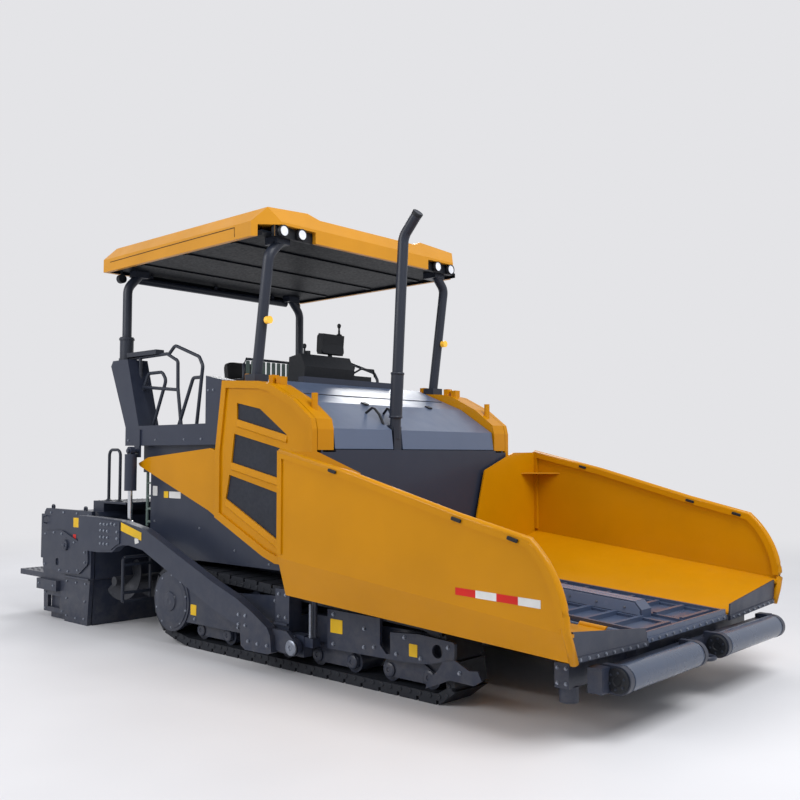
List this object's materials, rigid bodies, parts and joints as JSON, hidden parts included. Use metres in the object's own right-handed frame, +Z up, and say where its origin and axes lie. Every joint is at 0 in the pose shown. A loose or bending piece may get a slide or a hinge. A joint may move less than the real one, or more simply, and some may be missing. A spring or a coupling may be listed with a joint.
{
  "type": "asphalt paver",
  "caption": "Tracked asphalt paver with folding hopper wings, push rollers, conveyor, screw augers, roofed operator platform and a widening screed on tow arms.",
  "frame": {"origin": "on the ground, at the middle of the length and width", "axes": "+X is the direction of travel, +Y the left side, +Z up"},
  "size_m": [7.1788, 3.324, 3.745],
  "materials": {
    "paint_yellow": "gloss amber paint",
    "paint_dark": "satin blue-black paint",
    "paint_grey": "gloss blue-grey paint",
    "mesh_black": "matt black mesh",
    "track_steel": "dark track steel with rubber pads",
    "roller_steel": "satin grey paint",
    "auger_steel": "dark paint",
    "rod_chrome": "polished rod",
    "cast_engine": "cast",
    "tube_dark": "satin dark paint",
    "wear_steel": "worn steel",
    "seat_black": "black vinyl",
    "plastic_black": "textured black",
    "roof_yellow": "gloss amber moulding",
    "roof_lining": "dark glossy lining",
    "lamp_white": "clear lens",
    "lamp_amber": "amber lens",
    "rail_pale": "pale grey-green paint"
  },
  "bodies": {
    "tractor": {"access_ladders": "rail_pale", "auger_support": "paint_dark", "body_shell": "paint_dark", "canopy_lining": "roof_lining", "canopy_posts": "tube_dark", "canopy_roof": "roof_yellow", "control_console": "plastic_black", "conveyor_chains": "wear_steel", "conveyor_deck": "wear_steel", "engine_block": "cast_engine", "exhaust_stack": "tube_dark", "frame_crossbeams": "paint_dark", "frame_side_left": "paint_dark", "frame_side_right": "paint_dark", "handrails": "tube_dark", "hood": "paint_grey", "hopper_rear_wall": "paint_dark", "lamp_housings": "plastic_black", "marker_lamps": "lamp_amber", "platform": "paint_dark", "roof_lamps": "lamp_white", "seats": "seat_black", "side_frame_left": "paint_yellow", "side_frame_right": "paint_yellow", "step_frames": "tube_dark", "tow_column_left": "paint_dark", "tow_column_right": "paint_dark", "track_frame_left": "paint_dark", "track_frame_right": "paint_dark", "track_left": "track_steel", "track_right": "track_steel"},
    "wing_left": {"hopper_wing_left": "paint_yellow", "wing_flap_left": "paint_dark"},
    "push_roller_left": {"push_roller_left": "roller_steel"},
    "auger_left": {"auger_left": "auger_steel"},
    "extension_left": {"screed_extension_left": "paint_dark"},
    "lift_barrel_left": {"lift_barrel_left": "paint_dark"},
    "lift_rod_left": {"lift_rod_left": "rod_chrome"},
    "fold_barrel_left": {"fold_barrel_left": "paint_dark"},
    "fold_rod_left": {"fold_rod_left": "rod_chrome"},
    "side_door_left": {"side_door_left": "paint_yellow", "side_grille_left": "mesh_black"},
    "wing_right": {"hopper_wing_right": "paint_yellow", "wing_flap_right": "paint_dark"},
    "push_roller_right": {"push_roller_right": "roller_steel"},
    "auger_right": {"auger_right": "auger_steel"},
    "extension_right": {"screed_extension_right": "paint_dark"},
    "lift_barrel_right": {"lift_barrel_right": "paint_dark"},
    "lift_rod_right": {"lift_rod_right": "rod_chrome"},
    "fold_barrel_right": {"fold_barrel_right": "paint_dark"},
    "fold_rod_right": {"fold_rod_right": "rod_chrome"},
    "side_door_right": {"side_door_right": "paint_yellow", "side_grille_right": "mesh_black"},
    "push_beam": {"push_beam": "paint_dark"},
    "screed": {"screed_frame": "paint_dark", "screed_rails": "tube_dark", "tow_arm_left": "paint_dark", "tow_arm_right": "paint_dark"}
  },
  "joints": [
    {"name": "wing_fold_left", "type": "hinge", "parent": "tractor", "child": "wing_left", "pos_m": [2, 0.62, 0.59105], "axis": [0.9976, 0, -0.0698], "range_deg": [0, 55]},
    {"name": "wing_cylinder_pivot_left", "type": "hinge", "parent": "tractor", "child": "fold_barrel_left", "pos_m": [1.47517, 0.77, 0.27087], "axis": [0.9976, 0, -0.0698], "range_deg": [0, 6.32]},
    {"name": "wing_cylinder_stroke_left", "type": "slide", "parent": "fold_barrel_left", "child": "fold_rod_left", "axis": [0.0694, 0.0979, 0.9928], "range_m": [0, 0.1683]},
    {"name": "push_roller_spin_left", "type": "hinge", "parent": "push_beam", "child": "push_roller_left", "pos_m": [3.49, 0.68, 0.358], "axis": [0, 1, 0], "continuous": true},
    {"name": "auger_spin_left", "type": "hinge", "parent": "tractor", "child": "auger_left", "pos_m": [-1.885, 0.6, 0.45], "axis": [0, 1, 0], "continuous": true},
    {"name": "extension_slide_left", "type": "slide", "parent": "screed", "child": "extension_left", "axis": [0, 1, 0], "range_m": [0, 0.9]},
    {"name": "lift_cylinder_pivot_left", "type": "hinge", "parent": "tractor", "child": "lift_barrel_left", "pos_m": [-1.49, 1.325, 1.7], "axis": [0, -1, 0], "range_deg": [0, 11.79]},
    {"name": "lift_cylinder_stroke_left", "type": "slide", "parent": "lift_barrel_left", "child": "lift_rod_left", "axis": [0, 0, 1], "range_m": [0, 0.2402]},
    {"name": "side_door_swing_left", "type": "hinge", "parent": "tractor", "child": "side_door_left", "pos_m": [-0.28, 1.256, 1.5], "axis": [0, 0, 1], "range_deg": [0, 80]},
    {"name": "wing_fold_right", "type": "hinge", "parent": "tractor", "child": "wing_right", "pos_m": [2, -0.62, 0.59105], "axis": [-0.9976, 0, 0.0698], "range_deg": [0, 55]},
    {"name": "wing_cylinder_pivot_right", "type": "hinge", "parent": "tractor", "child": "fold_barrel_right", "pos_m": [1.47517, -0.77, 0.27087], "axis": [-0.9976, 0, 0.0698], "range_deg": [0, 6.32]},
    {"name": "wing_cylinder_stroke_right", "type": "slide", "parent": "fold_barrel_right", "child": "fold_rod_right", "axis": [0.0694, -0.0979, 0.9928], "range_m": [0, 0.1683]},
    {"name": "push_roller_spin_right", "type": "hinge", "parent": "push_beam", "child": "push_roller_right", "pos_m": [3.49, -0.68, 0.358], "axis": [0, 1, 0], "continuous": true},
    {"name": "auger_spin_right", "type": "hinge", "parent": "tractor", "child": "auger_right", "pos_m": [-1.885, -0.6, 0.45], "axis": [0, 1, 0], "continuous": true},
    {"name": "extension_slide_right", "type": "slide", "parent": "screed", "child": "extension_right", "axis": [0, -1, 0], "range_m": [0, 0.9]},
    {"name": "lift_cylinder_pivot_right", "type": "hinge", "parent": "tractor", "child": "lift_barrel_right", "pos_m": [-1.49, -1.325, 1.7], "axis": [0, -1, 0], "range_deg": [0, 11.79]},
    {"name": "lift_cylinder_stroke_right", "type": "slide", "parent": "lift_barrel_right", "child": "lift_rod_right", "axis": [0, 0, 1], "range_m": [0, 0.2402]},
    {"name": "side_door_swing_right", "type": "hinge", "parent": "tractor", "child": "side_door_right", "pos_m": [-0.28, -1.256, 1.5], "axis": [0, 0, -1], "range_deg": [0, 80]},
    {"name": "push_beam_pivot", "type": "hinge", "parent": "tractor", "child": "push_beam", "pos_m": [3.315, 0, 0.358], "axis": [0, 0, 1], "range_deg": [-4, 4]},
    {"name": "screed_lift", "type": "hinge", "parent": "tractor", "child": "screed", "pos_m": [0.935, 0, 0.235], "axis": [0, 1, 0], "range_deg": [0, 6]}
  ],
  "couplings": [
    {"joint": "wing_cylinder_pivot_left", "follows": "wing_fold_left", "ratio": 0.11305},
    {"joint": "wing_cylinder_stroke_left", "follows": "wing_fold_left", "m_per_rad": 0.17476},
    {"joint": "lift_cylinder_pivot_left", "follows": "screed_lift", "ratio": 1.9482},
    {"joint": "lift_cylinder_stroke_left", "follows": "screed_lift", "m_per_rad": 2.2894},
    {"joint": "wing_cylinder_pivot_right", "follows": "wing_fold_right", "ratio": 0.11305},
    {"joint": "wing_cylinder_stroke_right", "follows": "wing_fold_right", "m_per_rad": 0.17476},
    {"joint": "lift_cylinder_pivot_right", "follows": "screed_lift", "ratio": 1.9482},
    {"joint": "lift_cylinder_stroke_right", "follows": "screed_lift", "m_per_rad": 2.2894}
  ]
}
